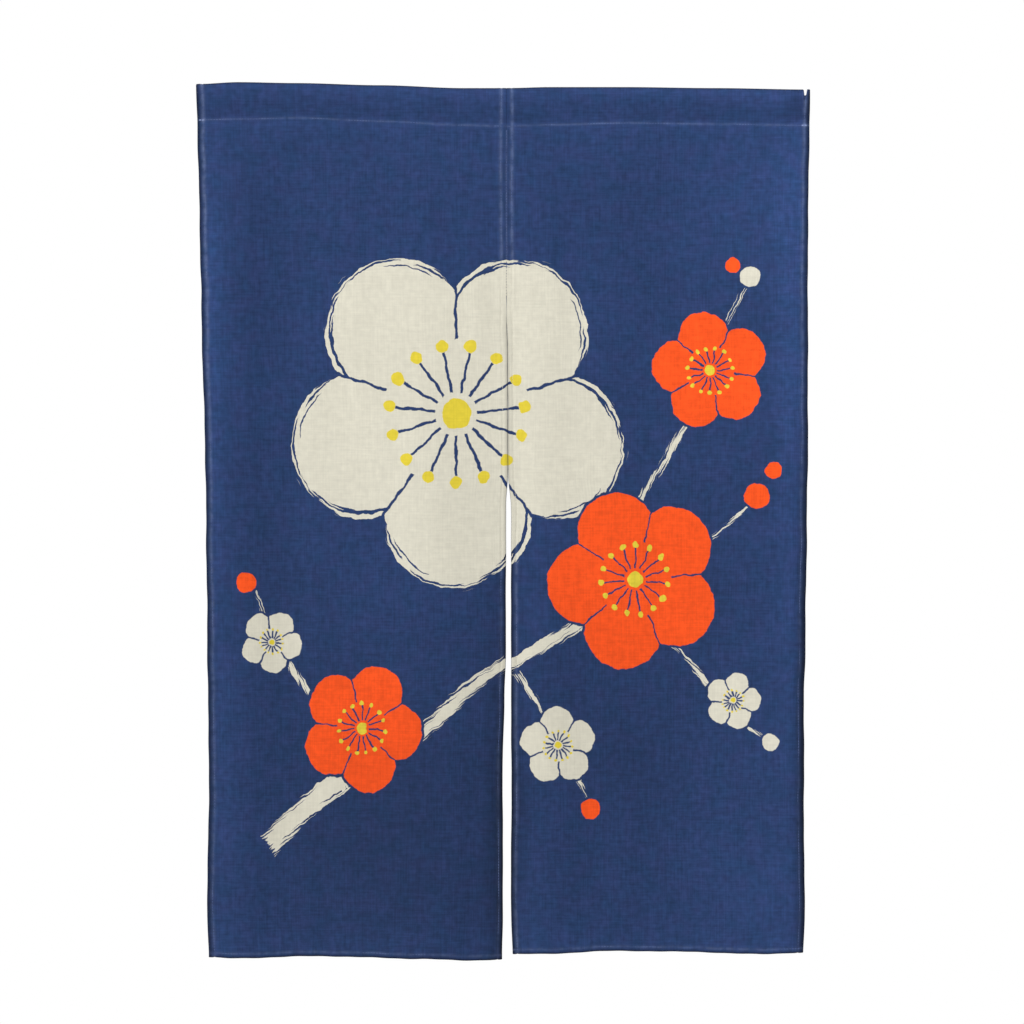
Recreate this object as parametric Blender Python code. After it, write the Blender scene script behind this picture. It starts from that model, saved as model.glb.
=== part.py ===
"""A noren, the split curtain of a doorway: two hemmed panels of cloth, joined for the first quarter of their
length, each with its top turned to the back and stitched down as a rod pocket.

Metres, +Z up. The front of the cloth faces -Y and +X is to the right. The origin is on the top edge, where the
two panels meet. Heights are negative below it. The tables hold millimetres."""

import math
from collections import namedtuple

import bmesh
import bpy

MM = 0.001

# Cloth and hems
SHEET = 1.0 * MM
HEM_THICK = 2.0 * MM
SIDE_HEM = 8.0 * MM
BOTTOM_HEM = 8.0 * MM
HEM_STEP = 1.5 * MM
GAP = 0.3 * MM

# Rod pocket: a sleeve that hangs slack, pinched at its stitch line
LIP_HEIGHT = 4.0 * MM
LIP_THICK = 3.0 * MM
FRONT_BULGE = 6.5 * MM
BACK_BULGE = 15.0 * MM
POCKET_WALL = 1.0 * MM
PINCH_POWER = 0.75
FOLD_POWER = 0.5
BELLY = PINCH_POWER / (PINCH_POWER + FOLD_POWER)
PROFILE_STEPS = 10
CUTTER_OVERRUN = 6.0 * MM

# How finely the cloth is divided
FIELD_COLUMNS = 12
FIELD_ROWS = 34

# Where the folds start below the pocket, and how far down they take to open
FOLDS_START = 55.0 * MM
FOLDS_OPEN = 110.0 * MM
HANG_LENGTH = 1205.0 * MM
STITCH_DROP = 48.0 * MM
HEM_KICK = 3.0 * MM
HEM_KICK_REACH = 40.0 * MM
SLIT_TOP = 290.0 * MM

# The four upright edges, down the curtain
Level = namedtuple("Level", "drop left_outer left_inner right_inner right_outer")
LEVELS = (
    Level(-8, -431.0, -0.15, 0.15, 421.5),
    Level(50, -428.5, -0.15, 0.15, 420.0),
    Level(225, -425.0, -0.15, 0.15, 418.0),
    Level(290, -423.5, -0.15, 0.15, 418.0),
    Level(363, -422.0, -0.7, 3.5, 418.0),
    Level(502, -418.0, -0.7, 4.9, 418.0),
    Level(606, -416.5, -0.7, 6.2, 416.5),
    Level(765, -415.0, -0.7, 6.2, 414.5),
    Level(849, -414.0, -2.8, 6.2, 412.5),
    Level(953, -412.5, -5.5, 6.9, 412.5),
    Level(1057, -414.0, -4.9, 6.2, 412.5),
    Level(1147, -415.5, -4.9, 6.2, 414.0),
    Level(1202, -412.5, -6.2, 8.3, 411.0),
)

# The top edge and the pocket's stitch line, across the curtain
Heading = namedtuple("Heading", "across top stitch")
HEADINGS = (
    Heading(-430, 5.5, -44.5),
    Heading(-370, 8.3, -43.0),
    Heading(-290, 7.0, -41.5),
    Heading(-175, 4.0, -46.0),
    Heading(-60, 0.0, -51.5),
    Heading(0, 0.0, -53.0),
    Heading(60, 1.4, -51.0),
    Heading(165, 1.4, -48.5),
    Heading(290, 0.0, -50.0),
    Heading(421, -2.0, -52.0),
)

# The bottom edge of each panel, across the curtain
Bottom = namedtuple("Bottom", "across height")
LEFT_BOTTOM = (
    Bottom(-413, -1205.0),
    Bottom(-380, -1206.5),
    Bottom(-260, -1204.0),
    Bottom(-120, -1206.5),
    Bottom(-50, -1209.5),
    Bottom(0, -1208.5),
)
RIGHT_BOTTOM = (
    Bottom(0, -1201.0),
    Bottom(45, -1200.5),
    Bottom(150, -1197.0),
    Bottom(250, -1198.5),
    Bottom(350, -1201.0),
    Bottom(412, -1198.5),
)

# Folds: how far each stands forward of the hanging plane, or behind it where negative, at its top and at the hem
Fold = namedtuple("Fold", "across half_width top bottom")
FOLDS = (
    Fold(-372, 40, 3.0, 4.0),
    Fold(-300, 48, -5.0, -2.5),
    Fold(-112, 72, 3.0, 11.0),
    Fold(48, 36, 1.5, 4.5),
    Fold(225, 95, -3.5, -8.0),
    Fold(390, 60, 1.0, 3.0),
)

# Below the join the inner edge of each panel turns away from the other
Curl = namedtuple("Curl", "reach bottom")
CURLS = {"left": Curl(55, -5.0), "right": Curl(40, -2.0)}

NAVY = (0.029, 0.056, 0.153, 1.0)
CLOTH_ROUGHNESS = 0.9


def smooth(t):
    """0 to 1 with level ends."""
    t = min(max(t, 0.0), 1.0)
    return t * t * (3.0 - 2.0 * t)


def read(rows, key, column, at):
    """A table's column, in metres, at a place between its rows."""
    at /= MM
    low = rows[0]
    for high in rows[1:]:
        if at <= getattr(high, key) or high is rows[-1]:
            span = getattr(high, key) - getattr(low, key)
            share = smooth((at - getattr(low, key)) / span)
            return (getattr(low, column) * (1.0 - share) + getattr(high, column) * share) * MM
        low = high


def stands_forward(side, across, height):
    """How far the cloth stands in front of the hanging plane at a place on it."""
    drop = -height
    opened = smooth((drop - FOLDS_START) / FOLDS_OPEN)
    down = min(max(drop / HANG_LENGTH, 0.0), 1.0)
    forward = 0.0
    for fold in FOLDS:
        depth = fold.top * (1.0 - down) + fold.bottom * down
        forward += depth * MM * math.exp(-(((across / MM - fold.across) / fold.half_width) ** 2))
    below_slit = min(max((drop - SLIT_TOP) / (HANG_LENGTH - SLIT_TOP), 0.0), 1.0)
    curl = CURLS[side]
    near_slit = math.exp(-abs(across) / MM / curl.reach)
    kick = HEM_KICK * smooth((drop - HANG_LENGTH + HEM_KICK_REACH) / HEM_KICK_REACH)
    return opened * forward + curl.bottom * MM * below_slit * near_slit + kick


def columns(width):
    """Shares of the width where the upright grid lines run: close together at both hems."""
    hem = (0.0, HEM_STEP, SIDE_HEM - HEM_STEP / 2, SIDE_HEM + HEM_STEP / 2)
    left = [place / width for place in hem]
    right = [1.0 - share for share in reversed(left)]
    first, last = left[-1], right[0]
    field = [first + (last - first) * i / FIELD_COLUMNS for i in range(1, FIELD_COLUMNS)]
    return left + field + right


def rows(height):
    """Shares of the height where the level grid lines run, from the stitch line down: close together at the hem."""
    hem = (BOTTOM_HEM + HEM_STEP / 2, BOTTOM_HEM - HEM_STEP / 2, HEM_STEP, 0.0)
    bottom = [1.0 - place / height for place in hem]
    return [bottom[0] * i / FIELD_ROWS for i in range(FIELD_ROWS)] + bottom


def edges(side, height):
    """The panel's left and right edge at one height."""
    names = ("left_outer", "left_inner") if side == "left" else ("right_inner", "right_outer")
    return [read(LEVELS, "drop", name, -height) for name in names]


def across_at(side, share, height):
    """Where a column of the panel stands at one height."""
    low, high = edges(side, height)
    return low + (high - low) * share


def heading_at(side, share, column):
    """Where a column of the panel crosses its stitch line or its top edge, as (across, height)."""
    height = read(HEADINGS, "across", column, across_at(side, share, -STITCH_DROP))
    return across_at(side, share, height), height


def panel_width(side):
    low, high = edges(side, -STITCH_DROP)
    return high - low


def grid_mesh(count_x, count_y):
    """A flat grid, and its vertices as [row][column] from its lower left corner."""
    bm = bmesh.new()
    bmesh.ops.create_grid(bm, x_segments=count_x - 1, y_segments=count_y - 1, size=1.0)
    points = sorted(bm.verts, key=lambda v: (round(v.co.y, 5), v.co.x))
    return bm, [points[row * count_x : (row + 1) * count_x] for row in range(count_y)]


def cloth_material(name):
    """Navy cotton and linen cloth: woven, dull all over."""
    material = bpy.data.materials.new(name)
    material.use_nodes = True
    shader = material.node_tree.nodes["Principled BSDF"]
    shader.inputs["Base Color"].default_value = NAVY
    shader.inputs["Roughness"].default_value = CLOTH_ROUGHNESS
    shader.inputs["Metallic"].default_value = 0.0
    material.diffuse_color = NAVY
    return material


def add_object(name, bm, collection):
    """The mesh as an object in a collection, its faces pointing outwards."""
    bmesh.ops.recalc_face_normals(bm, faces=bm.faces)
    mesh = bpy.data.meshes.new(name)
    bm.to_mesh(mesh)
    bm.free()
    mesh.shade_smooth()
    mesh.set_sharp_from_angle(angle=math.radians(35.0))
    obj = bpy.data.objects.new(name, mesh)
    collection.objects.link(obj)
    return obj


def make_panel(side, collection):
    """One panel below its pocket: a folded sheet, thicker at its side and bottom hems, which turn to the back."""
    shares = columns(panel_width(side))
    bottoms = LEFT_BOTTOM if side == "left" else RIGHT_BOTTOM
    levels = rows(HANG_LENGTH)
    bm, lattice = grid_mesh(len(shares), len(levels))
    thickness = {}
    for level, line in zip(reversed(levels), lattice):
        for share, vert in zip(shares, line):
            start = heading_at(side, share, "stitch")[1] - GAP / 2
            end = read(bottoms, "across", "height", across_at(side, share, -HANG_LENGTH))
            height = start + (end - start) * level
            across = across_at(side, share, height)
            vert.co = (across, -stands_forward(side, across, height), height)
            low, high = edges(side, height)
            from_side = min(across - low, high - across)
            in_hem = from_side < SIDE_HEM or height - end < BOTTOM_HEM
            thickness[vert] = HEM_THICK if in_hem else SHEET
    front = list(bm.verts)
    made = bmesh.ops.extrude_face_region(bm, geom=bm.faces[:], use_keep_orig=True)
    back = [item for item in made["geom"] if isinstance(item, bmesh.types.BMVert)]
    by_place = {tuple(vert.co): vert for vert in front}
    for vert in back:
        vert.co.y += thickness[by_place[tuple(vert.co)]]
    return add_object(f"panel_{side}", bm, collection)


def sleeve_width(share):
    """How full the sleeve is, 0 to 1, from its pinched bottom (0) to the fold at its top (1)."""
    full = BELLY**PINCH_POWER * (1.0 - BELLY) ** FOLD_POWER
    return share**PINCH_POWER * (1.0 - share) ** FOLD_POWER / full


def sleeve_profile(bottom, top, wall):
    """The sleeve's closed outline at one place as (y, z), up its front, over the fold and down its back."""
    middle = LIP_THICK / 2
    inside = wall > 0.0
    low = bottom + LIP_HEIGHT + (wall if inside else 0.0)
    high = top - wall
    half_lip = 0.0 if inside else LIP_THICK / 2
    front, back = [], []
    for i in range(PROFILE_STEPS + 1):
        share = (1.0 - math.cos(math.pi * i / PROFILE_STEPS)) / 2.0
        full = sleeve_width(share)
        lip = half_lip * (1.0 - share)
        z = low + (high - low) * share
        front.append((middle - lip - full * (FRONT_BULGE - wall), z))
        back.append((middle + lip + full * (BACK_BULGE - wall), z))
    if not inside:
        front.insert(0, (middle - half_lip, bottom))
        back.insert(0, (middle + half_lip, bottom))
        return front + back[-2::-1]
    return front + back[-2:0:-1]


def make_sleeve(name, side, inside, collection):
    """The sleeve's outer shape, or the hollow to cut from it, lofted through the panel's own columns."""
    width = panel_width(side)
    stations = []
    for share in columns(width):
        at_stitch, bottom = heading_at(side, share, "stitch")
        at_top, top = heading_at(side, share, "top")
        in_hem = min(share, 1.0 - share) * width < SIDE_HEM
        wall = (HEM_THICK if in_hem else POCKET_WALL) if inside else 0.0
        profile = sleeve_profile(bottom + GAP / 2, top, wall)
        lean = (at_top - at_stitch) / (top - bottom)
        stations.append([(at_stitch + lean * (z - bottom), y, z) for y, z in profile])
    if inside:
        stations[0] = [(x - CUTTER_OVERRUN, y, z) for x, y, z in stations[0]]
        stations[-1] = [(x + CUTTER_OVERRUN, y, z) for x, y, z in stations[-1]]
    count = len(stations[0])
    bm, lattice = grid_mesh(count + 1, len(stations))
    for station, line in zip(stations, lattice):
        for i, vert in enumerate(line):
            vert.co = station[i % count]
    bmesh.ops.remove_doubles(bm, verts=bm.verts[:], dist=0.01 * MM)
    bmesh.ops.holes_fill(bm, edges=bm.edges[:], sides=0)
    return add_object(name, bm, collection)


def make_pocket(side, collection, cutters):
    """One rod pocket: the sleeve's outer shape with its hollow cut right through."""
    pocket = make_sleeve(f"rod_pocket_{side}", side, False, collection)
    hollow = make_sleeve(f"hollow_{side}", side, True, cutters)
    hollow.hide_render = True
    hollow.display_type = "WIRE"
    cut = pocket.modifiers.new("rod_way", "BOOLEAN")
    cut.operation = "DIFFERENCE"
    cut.solver = "EXACT"
    cut.object = hollow
    return pocket


def main():
    for obj in list(bpy.data.objects):
        bpy.data.objects.remove(obj, do_unlink=True)
    noren = bpy.data.collections.new("noren_curtain")
    cutters = bpy.data.collections.new("cutters")
    bpy.context.scene.collection.children.link(noren)
    bpy.context.scene.collection.children.link(cutters)
    for side in ("left", "right"):
        panel = make_panel(side, noren)
        panel.data.materials.append(cloth_material(f"navy_cloth_panel_{side}"))
        pocket = make_pocket(side, noren, cutters)
        pocket.data.materials.append(cloth_material(f"navy_cloth_pocket_{side}"))


main()
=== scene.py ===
# %% [markdown]
# # A noren, the split curtain of a doorway
#
# Two panels of slubby navy cloth hang side by side from a rod. Each is hemmed down both sides and along the
# bottom, and its top is turned to the back and sewn down as a pocket for the rod. The panels are sewn
# together for the first quarter of their length and hang free below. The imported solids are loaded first,
# because every piece here has to hang where they hang.

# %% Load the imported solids
import math
from collections import namedtuple

import bpy
import numpy as np
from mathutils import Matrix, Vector


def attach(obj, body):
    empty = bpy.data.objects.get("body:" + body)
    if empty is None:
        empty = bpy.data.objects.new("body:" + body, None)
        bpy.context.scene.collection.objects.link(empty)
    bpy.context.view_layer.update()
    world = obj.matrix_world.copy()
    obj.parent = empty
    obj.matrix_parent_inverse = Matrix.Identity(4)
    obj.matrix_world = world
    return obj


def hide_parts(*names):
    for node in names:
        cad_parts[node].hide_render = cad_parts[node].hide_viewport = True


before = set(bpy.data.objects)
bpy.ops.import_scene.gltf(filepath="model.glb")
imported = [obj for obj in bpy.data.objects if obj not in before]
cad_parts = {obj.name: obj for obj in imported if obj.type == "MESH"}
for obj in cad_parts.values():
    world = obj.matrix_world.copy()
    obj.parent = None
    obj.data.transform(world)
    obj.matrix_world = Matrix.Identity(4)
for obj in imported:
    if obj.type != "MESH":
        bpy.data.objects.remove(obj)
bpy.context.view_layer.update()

MM = 0.001

# %% [markdown]
# ## The camera
#
# The curtain is seen straight from the front and shows no perspective, so a long lens stands six metres
# off. One pixel is 1.387 mm at the cloth, which gives the lens, and the picture's middle is a little to the
# right of the slit and 588 mm below the top edge.

# %% Stand the camera
PIXEL = 1.3867
PICTURE_PIXELS = 1024
SENSOR = 36.0
CAMERA_DISTANCE = 6.0
VIEW_MIDDLE = (0.0076, -0.588)

view_width = PIXEL * PICTURE_PIXELS * MM
lens = bpy.data.cameras.new("front_camera")
lens.sensor_width = SENSOR
lens.lens = SENSOR * CAMERA_DISTANCE / view_width
lens.clip_end = 10 * CAMERA_DISTANCE
camera = bpy.data.objects.new("front_camera", lens)
bpy.context.scene.collection.objects.link(camera)
camera.location = (VIEW_MIDDLE[0], -CAMERA_DISTANCE, VIEW_MIDDLE[1])
camera.rotation_euler = (math.radians(90.0), 0.0, 0.0)
bpy.context.scene.camera = camera
print("lens, mm:", round(lens.lens, 1))

# %% [markdown]
# ## Studio light and floor
#
# Cloth shows its folds only where light comes from one side. A soft sun high on the left rakes across it
# and lights the whole width alike, and a lamp above the top edge fades downwards, as the light in the
# picture does. A third lamp stands behind, for whoever walks round to the wrong side. The white
# surroundings fill in. They are pure white to the camera, as in a picture on a white ground, and dimmer as
# a light, so that the lamps still shape the cloth. The plain view transform keeps the cloth's colours as
# they are set.


# %% Light the studio
WHITE = (1.0, 1.0, 1.0, 1.0)


def add(tree, kind, inputs=(), out=0, **settings):
    """Adds a node with its settings, sets or links its inputs, and returns one of its outputs. The inputs
    are given by name or number in a dict, or in their order in a tuple."""
    node = tree.nodes.new("ShaderNode" + kind)
    for name, value in settings.items():
        setattr(node, name, value)
    for key, value in inputs.items() if isinstance(inputs, dict) else enumerate(inputs):
        if isinstance(value, bpy.types.NodeSocket):
            tree.links.new(value, node.inputs[key])
        else:
            node.inputs[key].default_value = value
    return node.outputs[out] if node.outputs else node


WORLD_LIGHT = 0.20
bpy.context.scene.view_settings.view_transform = "Standard"
world = bpy.data.worlds.new("white_studio")
world.use_nodes = True
studio = world.node_tree
studio.nodes.clear()
seen_by = add(studio, "LightPath")
dim = add(studio, "Background", (WHITE, WORLD_LIGHT))
bright = add(studio, "Background", (WHITE, 1.0))
add(studio, "OutputWorld", (add(studio, "MixShader", (seen_by, dim, bright)),))
bpy.context.scene.world = world

Lamp = namedtuple("Lamp", "name kind place aim size power")
LAMPS = (
    Lamp("key_sun", "SUN", (-4.2, -2.6, 2.2), (0.0, 0.0, -0.5), math.radians(14.0), 2.65),
    Lamp("top_lamp", "AREA", (0.5, -1.5, 1.75), (0.1, 0.0, -0.3), 1.2, 37.0),
    Lamp("back_lamp", "AREA", (-1.4, 2.4, 1.1), (0.0, 0.0, -0.6), 1.6, 85.0),
)
for lamp in LAMPS:
    light = bpy.data.lights.new(lamp.name, lamp.kind)
    light.energy = lamp.power
    setattr(light, "angle" if lamp.kind == "SUN" else "size", lamp.size)
    stand = bpy.data.objects.new(lamp.name, light)
    bpy.context.scene.collection.objects.link(stand)
    stand.location = lamp.place
    toward = Vector(lamp.aim) - Vector(lamp.place)
    stand.rotation_euler = toward.to_track_quat("-Z", "Y").to_euler()
print("lamps:", [lamp.name for lamp in LAMPS])

# %% [markdown]
# A material is started in one place too: what is the same all over a surface is set on the shader's own
# sockets, and only what varies gets nodes. The floor needs nothing more. It is a plain pale plane well
# below the curtain, and is not part of the object.


# %% Lay the floor
def start_material(name, finish):
    """A new material with the constant part of its finish, its node tree and its shader."""
    material = bpy.data.materials.new(name)
    material.use_nodes = True
    shader = material.node_tree.nodes["Principled BSDF"]
    for socket, value in finish.items():
        shader.inputs[socket].default_value = value
    return material, material.node_tree, shader


FLOOR_HEIGHT = -1.9
FLOOR_SIZE = 6.0
FLOOR_FINISH = {"Base Color": (0.82, 0.82, 0.81, 1.0), "Roughness": 0.85}
bpy.ops.object.select_all(action="DESELECT")
bpy.ops.mesh.primitive_plane_add(size=FLOOR_SIZE, location=(0.0, 0.0, FLOOR_HEIGHT))
floor = bpy.context.object
floor.name = "studio_floor"
floor.data.materials.append(start_material("pale_matt_floor", FLOOR_FINISH)[0])
print("floor at, m:", FLOOR_HEIGHT)

# %% [markdown]
# ## The measured outline
#
# Hand-hemmed cloth is never a true rectangle. These tables hold the edges as measured, in millimetres: the
# four upright edges at several distances below the top edge, then the top edge and the pocket's stitch
# line, then the bottom edge of each panel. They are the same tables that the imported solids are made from.

# %% The outline's tables
def table(columns, *rows):
    """Rows of numbers whose columns have names."""
    row = namedtuple("row", columns)
    return [row(*numbers) for numbers in rows]


LEVELS = table(
    "drop left_outer left_inner right_inner right_outer",
    (-8, -431.0, -0.15, 0.15, 421.5),
    (50, -428.5, -0.15, 0.15, 420.0),
    (225, -425.0, -0.15, 0.15, 418.0),
    (290, -423.5, -0.15, 0.15, 418.0),
    (363, -422.0, -0.7, 3.5, 418.0),
    (502, -418.0, -0.7, 4.9, 418.0),
    (606, -416.5, -0.7, 6.2, 416.5),
    (765, -415.0, -0.7, 6.2, 414.5),
    (849, -414.0, -2.8, 6.2, 412.5),
    (953, -412.5, -5.5, 6.9, 412.5),
    (1057, -414.0, -4.9, 6.2, 412.5),
    (1147, -415.5, -4.9, 6.2, 414.0),
    (1202, -412.5, -6.2, 8.3, 411.0),
)
HEADINGS = table(
    "across top stitch",
    (-430, 5.5, -44.5),
    (-370, 8.3, -43.0),
    (-290, 7.0, -41.5),
    (-175, 4.0, -46.0),
    (-60, 0.0, -51.5),
    (0, 0.0, -53.0),
    (60, 1.4, -51.0),
    (165, 1.4, -48.5),
    (290, 0.0, -50.0),
    (421, -2.0, -52.0),
)
BOTTOMS = {
    "left": table(
        "across height",
        (-413, -1205.0),
        (-380, -1206.5),
        (-260, -1204.0),
        (-120, -1206.5),
        (-50, -1209.5),
        (0, -1208.5),
    ),
    "right": table(
        "across height",
        (0, -1201.0),
        (45, -1200.5),
        (150, -1197.0),
        (250, -1198.5),
        (350, -1201.0),
        (412, -1198.5),
    ),
}


def smooth(t):
    """0 to 1 with level ends."""
    t = np.clip(t, 0.0, 1.0)
    return t * t * (3.0 - 2.0 * t)


def read(rows, key, column, at):
    """A table's column at places between its rows, eased from row to row."""
    keys = np.array([getattr(row, key) for row in rows], float)
    values = np.array([getattr(row, column) for row in rows], float)
    low = np.clip(np.searchsorted(keys, at, side="right") - 1, 0, len(keys) - 2)
    share = smooth((at - keys[low]) / (keys[low + 1] - keys[low]))
    return values[low] * (1.0 - share) + values[low + 1] * share


# %% [markdown]
# ## Four edges that waver
#
# Between the measured places an edge still wavers by a fraction of a millimetre, because a hem is turned
# and sewn by hand and eye. Two sine waves of unlike lengths give that, and each edge has its own. The two
# inner hems are sewn edge to edge down to the top of the slit, and below it they still roll towards each
# other for a while, so a last table says how much closer they come there.

# %% Edges at any height
STITCH_DROP = 48.0
SLIT_TOP = 290.0
SLIT_FREE = 120.0
EDGE_NAMES = {"left": ("left_outer", "left_inner"), "right": ("right_inner", "right_outer")}

ROLLS = table(
    "drop closer",
    (285, 0.2),
    (330, 1.3),
    (350, 2.0),
    (363, 2.2),
    (430, 2.5),
    (502, 2.85),
    (538, 2.9),
    (580, 0.0),
)
Wave = namedtuple("Wave", "height length start")
JOIN_WAVER = (Wave(0.28, 31.0, 0.6), Wave(0.16, 11.3, 0.0))
OUTER_WAVER = (Wave(0.34, 23.0, 2.0), Wave(0.18, 8.7, 1.0))
BOTTOM_WAVER = (Wave(0.3, 17.0, 0.0), Wave(0.18, 6.1, 1.0))
SEAM_WAVER = (Wave(0.3, 37.0, 0.0), Wave(0.15, 13.0, 0.0))


def wavy(waves, at):
    """How far some waves together stand aside at some places along an edge."""
    return sum(wave.height * np.sin(at / wave.length + wave.start) for wave in waves)


def edges(side, height):
    """The panel's left and right edge at some heights. Down the join both inner edges waver as one, and
    below it each has its own share."""
    drop = -np.asarray(height, float)
    own = wavy(OUTER_WAVER, drop)
    apart = smooth((drop - SLIT_TOP) / SLIT_FREE)
    inner = wavy(JOIN_WAVER, drop) * (1.0 - 0.4 * apart)
    closer = read(ROLLS, "drop", "closer", drop)
    low, high = [read(LEVELS, "drop", name, drop) for name in EDGE_NAMES[side]]
    if side == "left":
        return low + own, high + inner - 0.2 * apart * own + closer
    return low + inner + 0.2 * apart * own - closer, high - own * 0.9


WIDTHS = {side: float(np.ptp(edges(side, -STITCH_DROP))) for side in ("left", "right")}
print("finished widths, mm:", {side: round(width, 1) for side, width in WIDTHS.items()})

# %% [markdown]
# ## How the cloth hangs
#
# Limp cloth hangs in long shallow folds that deepen towards the free bottom. A cloth simulation would give
# folds of its own choosing, and these have to be where the photograph's are, so each is listed: its middle,
# its width, and how far it stands forward at the top and at the bottom. The short creases that handling and
# storing left are a second table: each is a soft ridge or trough that leans a little and fades at both
# ends.

# %% Folds and creases
FOLDS = table(
    "across half_width top bottom",
    (-372, 40, 3.0, 4.0),
    (-300, 48, -5.0, -2.5),
    (-112, 72, 3.0, 11.0),
    (48, 36, 1.5, 4.5),
    (225, 95, -3.5, -8.0),
    (390, 60, 1.0, 3.0),
)
Curl = namedtuple("Curl", "reach bottom")
CURLS = {"left": Curl(55, -5.0), "right": Curl(40, -2.0)}
FOLDS_START = 55.0
FOLDS_OPEN = 110.0
HANG_LENGTH = 1205.0
HEM_KICK = 3.0
HEM_KICK_REACH = 40.0

CREASES = table(
    "across half_width first last lean forward",
    (-398, 12, 90, 760, 4, 0.9),
    (-338, 16, 120, 660, -8, -0.9),
    (-268, 17, 260, 900, 6, 0.8),
    (-206, 15, 90, 560, 10, 0.6),
    (-158, 14, 380, 1010, -9, -0.7),
    (-84, 17, 60, 300, 9, -1.2),
    (-40, 13, 110, 420, -4, 0.9),
    (-252, 13, 1020, 1230, 7, -1.1),
    (-66, 19, 760, 1210, -6, 1.2),
    (28, 9, 70, 330, 2, 0.7),
    (92, 19, 80, 430, 12, -1.1),
    (151, 15, 60, 360, -9, 0.7),
    (206, 20, 240, 780, 11, -0.8),
    (268, 16, 90, 520, 5, 0.7),
    (318, 19, 640, 1160, -12, 0.8),
    (366, 12, 70, 640, 4, -0.6),
    (118, 21, 700, 1170, 9, -1.0),
    (170, 13, 960, 1200, -6, 0.7),
    (392, 11, 60, 1180, 3, 0.6),
)
CREASE_ENDS = 2.2
SHOULDER = 1.1
SHOULDER_RISE = 6.0
SHOULDER_FALL = 70.0


def stands_forward(side, across, height):
    """How far the cloth stands in front of the hanging plane at some places on it."""
    drop = -height
    opened = smooth((drop - FOLDS_START) / FOLDS_OPEN)
    down = np.clip(drop / HANG_LENGTH, 0.0, 1.0)
    forward = np.zeros_like(across)
    for fold in FOLDS:
        depth = fold.top * (1.0 - down) + fold.bottom * down
        forward += depth * np.exp(-(((across - fold.across) / fold.half_width) ** 2))
    for crease in CREASES:
        middle = (crease.first + crease.last) / 2.0
        reach = (crease.last - crease.first) / 2.0
        along = (drop - middle) / reach
        line = crease.across + crease.lean * along
        strength = smooth(CREASE_ENDS * (1.0 - np.abs(along)))
        shape = np.exp(-(((across - line) / crease.half_width) ** 2))
        forward += crease.forward * strength * shape
    below_slit = np.clip((drop - SLIT_TOP) / (HANG_LENGTH - SLIT_TOP), 0.0, 1.0)
    curl = CURLS[side]
    kick = HEM_KICK * smooth((drop - HANG_LENGTH + HEM_KICK_REACH) / HEM_KICK_REACH)
    rolled = curl.bottom * below_slit * np.exp(-np.abs(across) / curl.reach)
    below = np.clip(drop - STITCH_DROP, 0.0, None)
    shoulder = SHOULDER * (1.0 - np.exp(-below / SHOULDER_RISE)) * np.exp(-below / SHOULDER_FALL)
    return opened * forward + rolled + kick + shoulder


# %% [markdown]
# ## Hems, by folding the sheet
#
# A hem is the cloth itself, turned to the back twice so that the raw end is hidden, and sewn. So the sheet
# is built as it is sewn: one flat grid is laid along a folded path from left to right, and along another
# from top to bottom. The path across starts at the raw end inside the left hem, comes out along the hem at
# the back, turns round the edge of the curtain, crosses the front, and does the same in reverse at the
# right.

# %% The path across
CLOTH = 0.4
LAYER = 0.45
SIDE_HEM = 9.0
RAW_END = 4.0
HEM_PLACES = (7.9, 4.9, 3.9)
HEM_COLUMNS = (1.0, 1.8, 2.8, 3.8, 4.8, 5.8, 6.8, 7.8, 8.8, 10.0, 11.5, 13.5, 16.5)
FIELD_STEP = 5.2


def fold_over(across, along, radius, angles):
    """Points round a middle, at some angles in degrees: a fold of the cloth, seen from its end."""
    return [(across + radius * math.cos(t), along + radius * math.sin(t)) for t in np.radians(angles)]


def side_hem():
    """The folded path of one side hem, raw end to front: distances in from the edge, and depths."""
    path = [(SIDE_HEM - RAW_END, LAYER), (HEM_PLACES[0], LAYER), (SIDE_HEM - LAYER / 2, LAYER)]
    path += fold_over(SIDE_HEM - LAYER / 2, 1.5 * LAYER, LAYER / 2, (-30, 30, 90))
    path += [(place, 2 * LAYER) for place in HEM_PLACES] + [(LAYER + CLOTH / 2, 2 * LAYER)]
    path += fold_over(LAYER + CLOTH / 2, LAYER, LAYER, (126, 162, 198, 234, 270))
    return path


def path_across(width):
    """Columns of the sheet: distance from the left edge, depth behind the front, flat place, and on the
    front or not."""
    hem = side_hem()
    steps = [math.dist(a, b) for a, b in zip(hem, hem[1:])]
    flat = [hem[-1][0] - sum(steps[i:]) for i in range(len(hem))]
    inner = np.linspace(HEM_COLUMNS[-1], width - HEM_COLUMNS[-1], round(width / FIELD_STEP))
    inner = list(inner)[1:-1]
    front = list(HEM_COLUMNS) + inner + [width - x for x in reversed(HEM_COLUMNS)]
    away = [x for x, _ in hem] + front + [width - x for x, _ in reversed(hem)]
    depth = [d for _, d in hem] + [0.0] * len(front) + [d for _, d in reversed(hem)]
    place = flat + front + [width - x for x in reversed(flat)]
    on_front = [False] * (len(hem) - 1) + [True] * (len(front) + 2) + [False] * (len(hem) - 1)
    return np.array(away), np.array(depth), np.array(place), np.array(on_front)


left_columns = path_across(WIDTHS["left"])
print("columns:", len(left_columns[0]), "flat width, mm:", round(float(np.ptp(left_columns[2]))))

# %% [markdown]
# ## The rod pocket and the bottom hem
#
# The path down starts at the raw end inside the pocket, turns round the pocket's lower edge at the back,
# climbs the pocket's slack back, goes over the top edge, and comes down its front to the stitch line. From
# there it follows the hanging cloth to the bottom, where it turns to the back for the bottom hem. Where a
# side hem meets another fold there are up to nine layers, so the folds are wider there, as in real cloth.

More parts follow.
